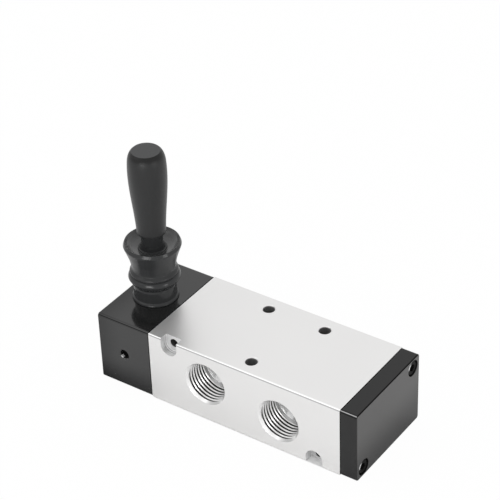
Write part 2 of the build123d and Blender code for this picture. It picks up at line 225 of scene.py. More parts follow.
WHITE = grey(1.0)
looks = {}
print("shader helpers: Wire, Finish, grey, squares")

# %% [markdown]
# ## The frame's own places
# The seams, the lever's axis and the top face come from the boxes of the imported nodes, so that nothing
# here can drift from the model. A finish that darkens a hole must know where the hole is, so the holes
# are set from the same boxes. The valve's measures in capitals are millimetres, as on a drawing, and
# those in small letters metres, as in the frame. The grain of a finish is in metres too.

# %% Faces and axes
body_low, body_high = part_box("valve_body")
housing_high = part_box("lever_housing")[1]
cap_low, cap_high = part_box("end_cap")
rod_low, rod_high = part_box("lever_rod")
top_z = body_high.z
stem_x = (rod_low.x + rod_high.x) / 2
middle_x = (body_low.x + body_high.x) / 2
axis_z = (body_low.z + body_high.z) / 2
TOP, FRONT = top_z / MM, -body_low.y / MM
BODY_START, BODY_END = body_low.x / MM, body_high.x / MM
HOUSING_END = housing_high.x / MM
CAP_START, CAP_END = cap_low.x / MM, cap_high.x / MM
HANDLE_TOP = 75.3
print("lever axis x", round(stem_x, 5), "top", round(top_z, 4), "body middle x", round(middle_x, 4))

# %% Holes
UPPER_HOLE_IN, UPPER_HOLE_DROP = 10.8, 3.5
LOWER_HOLE_IN, LOWER_HOLE_HEIGHT = 12.9, 3.1
CORNER_HOLES = (
    (BODY_START + UPPER_HOLE_IN, TOP - UPPER_HOLE_DROP),
    (BODY_END - LOWER_HOLE_IN, LOWER_HOLE_HEIGHT),
)
CORNER_R, POCKET_R, POCKET_DEPTH = 2.05, 4.15, 4.2
MOUNT_Y, MOUNT_ZONE = 17.5, 3.0
WORK_PITCH, WORK_STAGGER, WORK_SHIFT, BACK_PITCH = 37.7, 3.9, -0.65, 29.2
work_places = [
    (middle_x + (WORK_SHIFT + sign * WORK_PITCH / 2) * MM, axis_z - sign * WORK_STAGGER / 2 * MM)
    for sign in (-1, 1)
]
detent_low, detent_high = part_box("detent_screw")
DETENT_X = (detent_low.x + detent_high.x) / 2 / MM
DETENT_Z = (detent_low.z + detent_high.z) / 2 / MM
print("work ports at", np.round(work_places, 4).tolist(), "detent hole at", round(DETENT_X, 2))

# %% [markdown]
# ## Silver aluminium
# The block is cut from a drawn bar, blasted and clear anodised. Seen close, that is a pale metal with
# a very fine grain and faint lines along the bar. A metal with a roughness near one third spreads
# reflections without losing them, and two noises, one round and one stretched along X, carry the
# grain. Light and shade are painted into the colour at some places: painted shade low on the left,
# in the holes and on the floors of the ports, whose streaks are tool marks, a painted highlight on
# each port floor, painted light and shade in the pockets round the corner holes, where the cutter
# left rings one millimetre apart, and a painted highlight over painted shade on the rounded edge
# over the front face. Each is a mask of smooth steps on Object coordinates, so it stays on the metal
# in every view.

# %% Masks on the body
SPOT_X, SPOT_Z = -2.9, -7.4
SPOT_EDGE, SPOT_CORE = 5.0, 1.5
SPOT_DEPTH = (12.5, 15.0, 0.5, 1.0)


def lit_port_floors(x, y, z):
    """The spot that the light through each work port leaves on its floor.

    Its edge is where the square of the distance from its middle falls from SPOT_EDGE to SPOT_CORE.
    """
    highlight_spots = 0.0
    for port_x, port_z in work_places:
        dx = x - (port_x / MM + SPOT_X)
        dz = z - (port_z / MM + SPOT_Z)
        highlight_spots = squares(dx, dz).ramp(SPOT_EDGE, SPOT_CORE) + highlight_spots
    return highlight_spots * (y + FRONT).band(*SPOT_DEPTH)


PAST_RIM = (0.1, 0.3)
PAST_FLOOR = (POCKET_DEPTH + 0.1, POCKET_DEPTH + 0.15)
POCKET_WALL = (POCKET_R + 0.06, POCKET_R + 0.02)
CROSS_WALL = (CORNER_R + 0.2, CORNER_R + 0.1)


def corner_masks(x, y, z, hole_x, hole_z):
    """A round-ended pocket, and the cross hole behind its floor.

    The pocket is a half circle on the inner side of the hole's axis, and runs straight out through
    the nearer face on the other: its wall is where dx squared plus the square of dz, with dz above
    zero left out, is the square of POCKET_R.
    """
    depth = y + FRONT
    dx = x - hole_x
    dz = (z - hole_z) * (1.0 if hole_z > TOP / 2 else -1.0)
    from_middle = squares(dx, dz.calc("MINIMUM", dz, 0.0)).alone("SQRT")
    from_axis = squares(dx, dz).alone("SQRT")
    past_floor = depth.ramp(*PAST_FLOOR)
    pocket = from_middle.ramp(*POCKET_WALL) * depth.ramp(*PAST_RIM) * (1.0 - past_floor)
    return pocket, from_axis.ramp(*CROSS_WALL) * past_floor


print("corner holes at x and height, in mm:", np.round(CORNER_HOLES, 2).tolist())

# %% Silver aluminium
SILVER_DARK, SILVER_LIGHT = grey(0.790, 0.006), grey(0.840, 0.006)
SILVER_SHADED, SHADED_SHARE = grey(0.60, 0.006), 0.28
PORT_FLOOR_SHADE_DARK, PORT_FLOOR_SHADE_LIGHT = grey(0.58), grey(0.78)
POCKET_STEP_SHADE, POCKET_PAINTED_LIGHT = grey(0.50), grey(0.92)
MOUNT_HOLE_SHADE, CROSS_HOLE_SHADE, LOW_EDGE_SHADE = grey(0.45), grey(0.25), grey(0.45)
SILVER_METAL = 0.85
SILVER_GRAIN, SILVER_LINES, SILVER_CLOUD, GRAIN_DEPTH = 0.00022, 0.0009, 0.03, 0.000012
SHADED_HEIGHT, SHADED_X = (24.0, -4.0), (50.0, -10.0)
INSIDE_DROP, INSIDE_HEIGHT = (0.5, 1.1), (0.3, 0.8)
CUTTER_START = (1.2, 2.2)
LOW_ROUND_DEPTH, LOW_ROUND_DROP = (0.14, 0.05), (1.0, 0.7)
HIGH_ROUND_DEPTH, HIGH_ROUND_DROP = (0.08, 0.9, 0.07, 0.2), (0.7, 0.5)


def silver_aluminium():
    """Pale grained metal with painted shade low on the left, and painted light and shade in its holes and
    on its edges.
    """
    finish = Finish("silver_aluminium")
    grain = finish.noise(SILVER_GRAIN, 3.0)
    lines = finish.noise(SILVER_LINES, 2.0, (0.04, 1.0, 1.0))
    cloud = finish.noise(SILVER_CLOUD, 1.0)
    colour = finish.tint(grain * 0.5 + cloud * 0.5, SILVER_DARK, SILVER_LIGHT)
    x, y, z = finish.axes()
    depth, drop = y + FRONT, TOP - z
    # Painted shade: the colour darkens low on the left of the front, where the ground's contact shade
    # falls.
    low_left = z.ramp(*SHADED_HEIGHT) * x.ramp(*SHADED_X) * SHADED_SHARE
    colour = finish.tint(low_left, colour, SILVER_SHADED)

    # Painted shade in the upright mounting holes.
    inside = drop.ramp(*INSIDE_DROP) * z.ramp(*INSIDE_HEIGHT)
    off_middle = y.alone("ABSOLUTE")
    mounts = off_middle.band(MOUNT_Y - MOUNT_ZONE, MOUNT_Y + MOUNT_ZONE, 0.1)
    colour = finish.tint(mounts * inside, colour, MOUNT_HOLE_SHADE)
    # Painted shade on the floors of the ports, streaked with tool marks.
    behind = off_middle.ramp(MOUNT_Y - MOUNT_ZONE, MOUNT_Y - MOUNT_ZONE - 0.1) * inside
    streaks = finish.noise(SILVER_LINES, 2.0, (1.0, 1.0, 0.2)).ramp(0.35, 0.65)
    colour = finish.tint(behind, colour, finish.tint(streaks, PORT_FLOOR_SHADE_DARK, PORT_FLOOR_SHADE_LIGHT))
    # A painted highlight on each port floor: white there, and not metallic.
    highlight_spots = lit_port_floors(x, y, z) * behind
    colour = finish.tint(highlight_spots, colour, WHITE)

    # Painted light and shade in the corner pockets: lighter than the metal though they lie in shade, and
    # striped light and dark for the cutter's steps one millimetre apart.
    rings = (y * (2 * math.pi)).alone("SINE") * 0.5 + 0.5
    cut = finish.tint(rings * depth.ramp(*CUTTER_START), POCKET_PAINTED_LIGHT, POCKET_STEP_SHADE)
    for hole_x, hole_z in CORNER_HOLES:
        pocket, cross_hole = corner_masks(x, y, z, hole_x, hole_z)
        colour = finish.tint(pocket, colour, cut)
        # Painted shade in the cross hole behind the pocket's floor.
        colour = finish.tint(cross_hole * inside, colour, CROSS_HOLE_SHADE)

    # Painted shade on the lower half of the rounded edge over the front face, and a painted highlight on
    # its upper half.
    low_round_shade = depth.ramp(*LOW_ROUND_DEPTH) * drop.ramp(*LOW_ROUND_DROP)
    colour = finish.tint(low_round_shade, colour, LOW_EDGE_SHADE)
    high_round_highlight = depth.band(*HIGH_ROUND_DEPTH) * drop.ramp(*HIGH_ROUND_DROP)
    return finish.close(
        Base_Color=finish.tint(high_round_highlight, colour, WHITE),
        Metallic=SILVER_METAL - highlight_spots * SILVER_METAL,
        Roughness=0.32 + cloud * 0.06 + lines * 0.06,
        Normal=finish.bump(grain * 0.6 + lines * 0.4, GRAIN_DEPTH),
    )


looks["silver_aluminium"] = silver_aluminium()
print("silver aluminium, nodes:", len(looks["silver_aluminium"].node_tree.nodes))

# %% [markdown]
# ## Cut threads
# A tapped wall is bright on its crests and dark in the root of its groove, where light hardly gets
# in. The groove winds round, so its shade can't be a function of the depth alone. The piece itself
# knows where its groove runs, and hands that over in a UV map: the first number is the depth in the
# groove, from 0 to 1, and the second marks the one glint at the end of the thread.

# %% Cut aluminium
CREST_DARK, CREST_LIGHT = grey(0.80, 0.004), grey(0.94, 0.004)
ROOT_SHADE = grey(0.035)
ROOT_START = (0.34, 0.58)
CUT_METAL = 0.8


def cut_aluminium():
    """Bright turned metal with painted shade towards the root of the groove and a painted glint at the
    thread's end.
    """
    finish = Finish("cut_aluminium")
    root, glint = finish.drawn()
    rings = finish.noise(0.00025, 2.0, (0.15, 1.0, 0.15))
    crest = finish.tint(rings, CREST_DARK, CREST_LIGHT)
    # Painted shade towards the root of the groove, and a painted glint where the UV map marks it.
    wall = finish.tint(root.ramp(*ROOT_START), crest, ROOT_SHADE)
    return finish.close(
        Base_Color=finish.tint(glint, wall, WHITE),
        Metallic=CUT_METAL - glint * CUT_METAL,
        Roughness=0.26 + rings * 0.1,
        Normal=finish.bump(rings, 0.000008),
    )


port_look = cut_aluminium()
print("cut aluminium, nodes:", len(port_look.node_tree.nodes))

# %% [markdown]
# ## Black end blocks
# The two end blocks are dyed black under a hard clear layer, which makes them look like satin
# lacquer: nearly black, with clear but softened reflections. So this isn't a black metal but a dull
# black base under a clear coat. The coat is thin on edges that were broken after dyeing, so those
# edges, and the seams, stay dark lines. The housing also loses some of its coat low down and to the
# left, where the real one mirrors less of the room, and has a painted highlight in its detent hole.
# The end plate has a duller coat, an end face painted lighter as a sheen and darker towards its
# bottom as shade, painted shade on its edge lines, and one painted highlight line along its upper
# front edge.

# %% Lacquer
COAT_LOSS = 0.9


def black_coated(finish, base, dull, roughness, ior, grain_depth):
    """A black base under a clear coat, which a dull of 1 takes nearly away."""
    return finish.close(
        Base_Color=base,
        Roughness=0.6,
        Specular_IOR_Level=0.0,
        Coat_Weight=1.0 - dull * COAT_LOSS,
        Coat_Roughness=roughness,
        Coat_IOR=ior,
        Normal=finish.bump(finish.noise(0.0003, 3.0), grain_depth),
    )


print("coat left where it is dull:", round(1 - COAT_LOSS, 2))

# %% Black anodised
HOUSING_DARK, HOUSING_LIGHT = grey(0.011, -0.01), grey(0.015, -0.01)
EDGE_DEPTH, EDGE_DROP = (0.5, 0.4), (0.8, 0.65)
HOUSING_SEAM = (HOUSING_END - 0.6, HOUSING_END - 0.4)
DULL_LOW, DULL_LEFT = (15.0, -3.0), (-53.0, -70.0)
DULL_LOW_SHARE, DULL_LEFT_SHARE = 0.8, 0.35
LIT_GREY = grey(0.5)
LIT_RIGHT, LIT_UP = -0.64, -0.77
LIT_DEPTH = (0.05, 1.7, 0.1, 0.3)
LIT_INNER, LIT_OUTER, LIT_SIDES = (1.4, 1.7), (9.0, 8.0), (0.55, 0.30)


def detent_glint(x, y, z):
    """The lit patch on the wall of the detent's hole, in the direction (LIT_RIGHT, LIT_UP).

    LIT_INNER is a distance that way, LIT_OUTER the square of one from the axis and LIT_SIDES the
    square of one across.
    """
    dx, dz = x - DETENT_X, z - DETENT_Z
    outwards = dx * LIT_RIGHT + dz * LIT_UP
    across = dx * -LIT_UP + dz * LIT_RIGHT
    patch = outwards.ramp(*LIT_INNER) * squares(dx, dz).ramp(*LIT_OUTER)
    patch = patch * (across * across).ramp(*LIT_SIDES)
    return patch * (y + FRONT).band(*LIT_DEPTH)


def black_anodised():
    """Satin black under a coat that is thin at the front edge and the seam, and low on the left."""
    finish = Finish("black_anodised")
    x, y, z = finish.axes()
    near_edge = (y + FRONT).ramp(*EDGE_DEPTH) * (TOP - z).ramp(*EDGE_DROP)
    at_seam = x.ramp(*HOUSING_SEAM)
    low_left = z.ramp(*DULL_LOW) * DULL_LOW_SHARE + x.ramp(*DULL_LEFT) * DULL_LEFT_SHARE
    base = finish.tint(finish.noise(0.02, 2.0), HOUSING_DARK, HOUSING_LIGHT)
    # A painted highlight on the wall of the detent's hole.
    base = finish.tint(detent_glint(x, y, z), base, LIT_GREY)
    return black_coated(finish, base, near_edge.most(low_left).most(at_seam), 0.10, 1.58, 0.000002)


looks["black_anodised"] = black_anodised()
print("black anodised, nodes:", len(looks["black_anodised"].node_tree.nodes))

# %% End plate with painted sheen
CAP_GREY, EDGE_LINE_SHADE, EDGE_HIGHLIGHT_GREY = grey(0.010), grey(0.008), grey(0.45)
END_FACE_SHADE, END_FACE_SHEEN = grey(0.020, 0.01), grey(0.068, 0.01)
END_FACE_SHADE_HEIGHT = (2.0, 24.0)
EDGE_HIGHLIGHT_DEPTH, EDGE_HIGHLIGHT_DROP = (0.10, 0.65, 0.1), (0.5, 0.4)
EDGE_HIGHLIGHT_END, FACE_END = (CAP_END - 0.3, CAP_END - 0.5), (CAP_END - 0.25, CAP_END - 0.05)
BROKEN_DEPTH, BROKEN_DROP = (0.20, 0.10), (1.2, 0.9)
RIM_END, RIM_DROP = (CAP_END - 0.55, CAP_END - 0.4), (0.45, 0.3)
CAP_SEAM = (CAP_START + 0.5, CAP_START + 0.35)


def cap_black():
    """Duller black with a painted sheen on its end face, painted shade low on that face and on its dark
    broken edges, and one painted highlight line.
    """
    finish = Finish("cap_black")
    x, y, z = finish.axes()
    depth, drop = y + FRONT, TOP - z
    # A painted highlight: one light line along the upper front edge.
    painted_glint = depth.band(*EDGE_HIGHLIGHT_DEPTH) * drop.ramp(*EDGE_HIGHLIGHT_DROP) * x.ramp(*EDGE_HIGHLIGHT_END)
    near_edge = depth.ramp(*BROKEN_DEPTH) * drop.ramp(*BROKEN_DROP)
    top_rim = x.ramp(*RIM_END) * drop.ramp(*RIM_DROP)
    at_seam = x.ramp(*CAP_SEAM)
    dull = near_edge.most(top_rim).most(at_seam)
    # The end face is painted lighter than the sides, a painted sheen, and darker towards the bottom, a
    # painted shade.
    end_face_tone = finish.tint(z.ramp(*END_FACE_SHADE_HEIGHT), END_FACE_SHADE, END_FACE_SHEEN)
    base = finish.tint(x.ramp(*FACE_END), CAP_GREY, end_face_tone)
    base = finish.tint(painted_glint, base, EDGE_HIGHLIGHT_GREY)
    # Darker at the seam, a joint, and painted shade on the edge lines, apart from the highlight line.
    base = finish.tint(dull - painted_glint, base, EDGE_LINE_SHADE)
    return black_coated(finish, base, dull, 0.28, 1.36, 0.000004)


cap_look = cap_black()
print("end plate, nodes:", len(cap_look.node_tree.nodes))

# %% [markdown]
# ## Rubber and plastic
# The boot is glossy moulded rubber with a faint orange-peel skin. Its dished top mirrors more of the
# room than its flank, so a clear coat lies there alone, where the boot's own UV map says so. The
# handle is a matte plastic whose fine spark-eroded texture scatters light and lifts its tone. The
# hidden seals are plain dull rubber, the guide ring and ball seat white plastic.

# %% Boot rubber
RUBBER_DARK, RUBBER_LIGHT = grey(0.022, -0.03), grey(0.030, -0.03)


def boot_rubber():
    """Glossy black rubber, smeared unevenly, duller on the flare and coated in the dish."""
    finish = Finish("boot_rubber")
    smear = finish.noise(0.008, 3.0)
    dish, flare = finish.drawn()
    return finish.close(
        Base_Color=finish.tint(smear, RUBBER_DARK, RUBBER_LIGHT),
        Roughness=0.16 + smear * 0.08 + flare * 0.10,
        IOR=1.33,
        Coat_Weight=dish,
        Coat_Roughness=0.30,
        Coat_IOR=1.48,
        Normal=finish.bump(finish.noise(0.0016, 2.0), 0.00002),
    )


looks["boot_rubber"] = boot_rubber()
print("boot rubber, nodes:", len(looks["boot_rubber"].node_tree.nodes))

# %% Handle plastic
HANDLE_DARK, HANDLE_LIGHT = grey(0.016, -0.02), grey(0.021, -0.02)
SHOULDER_SHADE, FLAT_TOP_LIGHT = grey(0.006), grey(0.047, -0.02)
SHOULDER_HEIGHT = (HANDLE_TOP - 3.2, HANDLE_TOP - 1.2)
HANDLE_END_HEIGHT = (HANDLE_TOP - 0.12, HANDLE_TOP - 0.04)


def handle_plastic():
    """Matte grey plastic with painted shade on the shoulder and painted light on the flat top."""
    finish = Finish("handle_plastic")
    cloud = finish.noise(0.012, 2.0)
    height = finish.axes()[2] - TOP
    colour = finish.tint(cloud, HANDLE_DARK, HANDLE_LIGHT)
    # Painted shade on the shoulder and painted light on the flat top.
    colour = finish.tint(height.ramp(*SHOULDER_HEIGHT), colour, SHOULDER_SHADE)
    colour = finish.tint(height.ramp(*HANDLE_END_HEIGHT), colour, FLAT_TOP_LIGHT)
    return finish.close(
        Base_Color=colour,
        Roughness=0.33 + cloud * 0.08,
        IOR=1.35,
        Normal=finish.bump(finish.noise(0.00035, 3.0), 0.00003),
    )


looks["handle_plastic"] = handle_plastic()
print("handle plastic, nodes:", len(looks["handle_plastic"].node_tree.nodes))

# %% Hidden rubber and plastic
def clouded(name, blob, dark, light, roughness, spread):
    """A plain finish whose tone and roughness drift a little over blobs of the given size."""
    finish = Finish(name)
    cloud = finish.noise(blob, 2.0)
    return finish.close(Base_Color=finish.tint(cloud, dark, light), Roughness=roughness + cloud * spread)


looks["black_rubber"] = clouded("black_rubber", 0.004, grey(0.015), grey(0.028), 0.6, 0.15)
looks["white_acetal"] = clouded("white_acetal", 0.005, grey(0.76, 0.03), grey(0.84, 0.02), 0.35, 0.1)
print("finishes so far:", sorted(looks))

# %% [markdown]
# ## Metals
# The rod, spool and insert come off a lathe, so each has fine rings round its own axis. A noise that
# is squeezed along the axis and stretched across it gives those rings on any round piece. The screws
# are black oxide steel: nearly black, with a painted glint at one place of the rim, which their UV
# map marks.

# %% Turned metals
RINGS_ROUND_X = (1.0, 0.04, 0.04)
RINGS_ROUND_Z = (0.04, 0.04, 1.0)
BRASS_DARK, BRASS_LIGHT = (0.62, 0.44, 0.18, 1.0), (0.78, 0.60, 0.28, 1.0)


def turned_metal(name, dark, light, roughness, stretch):
    """A bright metal with fine tool rings, which stretch lays round one axis."""
    finish = Finish(name)
    rings = finish.noise(0.0003, 2.0, stretch)
    return finish.close(
        Base_Color=finish.tint(rings, dark, light),
        Metallic=1.0,
        Roughness=roughness + rings * 0.12,
        Normal=finish.bump(rings, 0.000006),
    )


looks["turned_steel"] = turned_metal("turned_steel", grey(0.62), grey(0.80), 0.22, RINGS_ROUND_Z)
looks["turned_brass"] = turned_metal("turned_brass", BRASS_DARK, BRASS_LIGHT, 0.25, RINGS_ROUND_Z)
looks["turned_aluminium"] = turned_metal(
    "turned_aluminium", grey(0.62), grey(0.76), 0.25, RINGS_ROUND_X
)
print("turned metals:", [name for name in looks if name.startswith("turned")])

# %% Black oxide steel
OXIDE_DARK, OXIDE_LIGHT, SCREW_GLINT_GREY = grey(0.003), grey(0.008), grey(0.95)


def black_oxide():
    """Nearly black steel with a painted glint where the piece marks its rim."""
    finish = Finish("black_steel")
    # A painted glint where the UV map marks the rim.
    painted_glint = finish.drawn()[0]
    cloud = finish.noise(0.002, 2.0)
    return finish.close(
        Base_Color=finish.tint(painted_glint, finish.tint(cloud, OXIDE_DARK, OXIDE_LIGHT), SCREW_GLINT_GREY),
        Roughness=0.34 + cloud * 0.1,
        Metallic=painted_glint * 0.5,
        IOR=1.12,
    )


looks["black_steel"] = black_oxide()
print("black oxide, nodes:", len(looks["black_steel"].node_tree.nodes))

# %% [markdown]
# ## Finishes on the imported pieces
# The frame gives each node the slot that its record names. Here each slot gets its finish. Two nodes
# differ from their slot: the end plate has its own look, with its painted sheen, shade and highlight,
# and the grub screw is black like the other screws.

# %% Dress the frame's pieces
slot_nodes = {
    "silver_aluminium": ["valve_body"],
    "black_anodised": ["lever_housing", "end_cap"],
    "black_rubber": ["housing_gasket", "cap_gasket", "spool_seals", "end_bumper"],
    "boot_rubber": ["rubber_boot"],
    "white_acetal": ["ball_seat", "spool_guide"],
    "black_steel": ["housing_screws", "cap_screws"],
    "turned_steel": ["lever_rod", "detent_screw", "detent_ball", "detent_spring", "collar_nut"],
    "turned_brass": ["handle_insert"],
    "turned_aluminium": ["spool"],
    "handle_plastic": ["lever_handle"],
}
own_looks = {"end_cap": cap_look, "detent_screw": looks["black_steel"]}
for slot_name, names in slot_nodes.items():
    for name in names:
        for material_slot in nodes[name].material_slots:
            material_slot.material = own_looks.get(name, looks[slot_name])
print("finishes:", len(looks) + 2, "nodes with a finish:", sum(map(len, slot_nodes.values())))

# %% [markdown]
# ## Surfaces from arrays
# Every new piece is a grid of points worked out with numpy, turned into quads in one step. A grid can
# close on itself in either direction, and a row whose points all fall on an axis becomes a pole. The
# signed volume of the closed mesh says whether its faces point outwards.

# %% Grids of quads
def grid_faces(rows, columns, wrap_rows):
    """Quads of a grid that always closes from its last column to its first."""
    index = np.arange(rows * columns).reshape(rows, columns)
    if wrap_rows:
        index = np.vstack([index, index[:1]])
    after = np.roll(index, -1, axis=1)
    quads = np.stack([index[:-1], after[:-1], after[1:], index[1:]], axis=-1)
    return quads.reshape(-1, 4)


def outward(points, faces):
    """Turns the faces round if the volume that they enclose comes out negative."""
    a, b, c, d = (points[faces[:, k]] for k in range(4))
    volume = np.einsum("ij,ij->", a, np.cross(b, c)) + np.einsum("ij,ij->", a, np.cross(c, d))
    return faces if volume > 0 else faces[:, ::-1]


print("faces of a 3 by 4 grid that wraps both ways:", len(grid_faces(3, 4, True)))

# %% Closed pieces
MERGE_DISTANCE = 1e-7
LEAST_EDGE = 1e-8


def close_poles(obj):
    """Merges points that lie on each other, such as a whole row on an axis."""
    work = bmesh.new()
    work.from_mesh(obj.data)
    bmesh.ops.remove_doubles(work, verts=work.verts, dist=MERGE_DISTANCE)
    bmesh.ops.dissolve_degenerate(work, edges=work.edges, dist=LEAST_EDGE)
    work.to_mesh(obj.data)
    work.free()


def piece(name, points, look, body, wrap_rows, crease, groove=None):
    """Makes a closed piece from points[row, column], in metres, and puts it on a body.

    Where groove is given, it holds two numbers for each point, which become a UV map of that name.
    Edges sharper than crease, in degrees, are shaded as edges.
    """
    rows, columns = points.shape[:2]
    flat = points.reshape(-1, 3)
    faces = outward(flat, grid_faces(rows, columns, wrap_rows))
    mesh = bpy.data.meshes.new(name)
    mesh.from_pydata(flat.tolist(), [], faces.tolist())
    mesh.materials.append(look)
    mesh.shade_smooth()
    obj = bpy.data.objects.new(name, mesh)
    bpy.context.scene.collection.objects.link(obj)
    if groove is not None:
        corners = np.empty(len(mesh.loops), dtype=np.int32)
        mesh.loops.foreach_get("vertex_index", corners)
        layer = mesh.uv_layers.new(name="groove")
        layer.uv.foreach_set("vector", groove.reshape(-1, 2)[corners].astype(np.float32).ravel())
    close_poles(obj)
    mesh.set_sharp_from_angle(angle=math.radians(crease))
    if body:
        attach(obj, body)
    print(name, "faces:", len(mesh.polygons))
    return obj


print("points closer than", MERGE_DISTANCE / MM, "mm are merged")

# %% Profiles
ARC_STEPS = 6
ARC_ROOM = 0.45
PAST_ARC = 1.1
STRAIGHT = 1e-3


def rounded_line(corners):
    """A polyline of (across, along, radius) corners with each inner corner rounded by an arc.

    An arc of radius r that turns the line by an angle t starts r tan(t / 2) before its corner, and
    never takes more than ARC_ROOM of a stretch. A point a little outside each arc keeps the shading
    of the flat stretches even.
    """
    points = [np.array(corners[0][:2])]
    for before, corner, after in zip(corners, corners[1:], corners[2:]):
        here = np.array(corner[:2])
        back = np.array(before[:2]) - here
        ahead = np.array(after[:2]) - here
        room = ARC_ROOM * min(np.linalg.norm(back), np.linalg.norm(ahead))
        back, ahead = back / np.linalg.norm(back), ahead / np.linalg.norm(ahead)
        turn = math.pi - math.acos(np.clip(back @ ahead, -1, 1))
        if corner[2] <= 0 or turn < STRAIGHT:
            points.append(here)
            continue
        reach = min(corner[2] * math.tan(turn / 2), room)
        radius = reach / math.tan(turn / 2)
        middle = here + (back + ahead) / np.linalg.norm(back + ahead) * radius / math.cos(turn / 2)
        first = here + back * reach - middle
        last = here + ahead * reach - middle
        share = np.linspace(0, 1, ARC_STEPS + 1)[:, None]
        arc = (np.sin((1 - share) * turn) * first + np.sin(share * turn) * last) / math.sin(turn)
        points.append(here + back * reach * PAST_ARC)
        points.extend(middle + arc)
        points.append(here + ahead * reach * PAST_ARC)
    points.append(np.array(corners[-1][:2]))
    return np.array(points)


SPUN_SEGMENTS = 128


def spun(profile):
    """Points of a profile of (radius, height) in mm turned about the lever's axis: r cos a, r sin a, z."""
    angle = np.linspace(0, 2 * math.pi, SPUN_SEGMENTS, endpoint=False)
    radius, height = profile[:, 0:1], profile[:, 1:2]
    x = radius * np.cos(angle)
    y = radius * np.sin(angle)
    z = np.broadcast_to(height, x.shape)
    return np.stack([x, y, z], axis=-1) * MM + np.array([stem_x, 0.0, top_z])


print("points of a rounded square corner:", len(rounded_line([(0, 0, 0), (5, 0, 1), (5, 5, 0)])))

# %% [markdown]
# ## Threaded ports
# Each port has a pipe thread. A thread is a groove that winds inwards: at a depth d and a share t of
# a turn its phase is d / pitch - t, and a rounded triangle wave of that phase gives the radius. The
# mouth is a 45 degree chamfer that cuts the first turn away, and the groove fades out above the
# drilled floor. The surface closes over a thin outer wall, so it lines the plain hole. Every point
# also carries its shades for the material.

# %% Thread sizes
PITCH = 1.814
PORT_CREST_R, PORT_ROOT_R = 9.3155, 10.40
PORT_MOUTH_R, PORT_OUTER_R = 10.44, 10.465
PORT_DEPTH = 13.5
THREAD_START, THREAD_RISE = 0.9, 0.4
THREAD_END, THREAD_FADE = 12.1, 0.9
STEPS_PER_PITCH, STEPS_PER_TURN = 22, 96
WAVE_FLATNESS = 0.96
print("thread turns in a port:", round((THREAD_END - THREAD_START) / PITCH, 1))

# %% Thread shades
GLINT_TURN, GLINT_HALF, GLINT_LEAD, GLINT_RISE = 0.558, 0.05, 0.5, 0.6
SHADE_TURN, SHADE_HALF, SHADE = 0.435, 0.115, 0.45


def off_turn(turn, middle):
    """How far a turn lies from a middle, from -0.5 to 0.5."""
    return (turn - middle + 0.5) % 1 - 0.5


def thread_shades(turn, along, wave, thread):
    """Two shades for each point: the depth in the groove, and the glint at the thread's end.

    Each glint or shade is a bump exp(-(t / half)^n) of the share t of a turn from its middle. The
    chamfer has no groove, so its points carry the soft shade that falls on its far side.
    """
    on_chamfer = np.exp(-((off_turn(turn, SHADE_TURN) / SHADE_HALF) ** 4)) * SHADE
    root = np.where(thread < PORT_MOUTH_R - along, on_chamfer, wave)
    glint = np.exp(-((off_turn(turn, GLINT_TURN) / GLINT_HALF) ** 2))
    glint = glint * np.clip((along - THREAD_END + GLINT_LEAD) / GLINT_RISE, 0, 1)
    return np.stack([root, glint], axis=-1)


print("the glint lies at", GLINT_TURN, "of a turn from the top of the port")

# %% Thread surface
def thread_wave(phase):
    """A triangle wave from 0 to 1 with rounded tips: an arcsine of a slightly flattened cosine."""
    flat_cosine = WAVE_FLATNESS * np.cos(2 * math.pi * phase)
    return 0.5 - np.arcsin(flat_cosine) / (2 * math.asin(WAVE_FLATNESS))


def thread_lining():
    """Rows along the depth, columns round the hole, as (radius, depth) with the outer wall last.

    The radius is crest + (root - crest) * wave, where the wave is cut down at both ends, or that of
    the 45 degree chamfer, mouth - depth, where this is more.
    """
    turn = np.linspace(0, 1, STEPS_PER_TURN, endpoint=False)
    along = np.linspace(0, PORT_DEPTH, int(PORT_DEPTH / PITCH * STEPS_PER_PITCH))[:, None]
    fade = np.clip((THREAD_END - along) / THREAD_FADE, 0, 1)
    rise = np.clip((along - THREAD_START) / THREAD_RISE, 0, 1)
    wave = thread_wave(along / PITCH - turn) * (fade * rise)
    thread = PORT_CREST_R + (PORT_ROOT_R - PORT_CREST_R) * wave
    radius = np.maximum(thread, PORT_MOUTH_R - along)
    inner = np.stack([radius, np.broadcast_to(along, radius.shape)], axis=-1)
    outer_line = np.array([[PORT_OUTER_R, PORT_DEPTH], [PORT_OUTER_R, 0.0]])
    outer = np.repeat(outer_line[:, None, :], STEPS_PER_TURN, axis=1)
    shades = thread_shades(turn, along, wave, thread)
    return np.concatenate([inner, outer]), np.concatenate([shades, np.zeros_like(outer)])


def into_face(lining, x, face_y, z, side):
    """Sets a lining into the front (side -1) or back (side 1) face, winding right-handed."""
    angle = np.linspace(0, 2 * math.pi, lining.shape[1], endpoint=False)
    radius, depth = lining[..., 0] * MM, lining[..., 1] * MM
    return np.stack([
        x - side * radius * np.sin(angle),
        face_y - side * depth,
        z + radius * np.cos(angle),
    ], axis=-1)


port_lining, port_groove = thread_lining()
print("rows and columns of a port's lining:", port_lining.shape[:2])

# %% Threaded ports
PORT_CREASE = 60.0
ports = {
    "work_port_a_thread": (*work_places[0], -1),
    "work_port_b_thread": (*work_places[1], -1),
    "supply_port_thread": (middle_x, axis_z, 1),
    "exhaust_port_a_thread": (middle_x - BACK_PITCH * MM, axis_z, 1),
    "exhaust_port_b_thread": (middle_x + BACK_PITCH * MM, axis_z, 1),
}
for port_name, (port_x, port_z, side) in ports.items():
    face_y = body_low.y if side < 0 else body_high.y
    points = into_face(port_lining, port_x, face_y, port_z, side)
    piece(
        port_name, points, port_look, "housing", True, PORT_CREASE, port_groove
    )

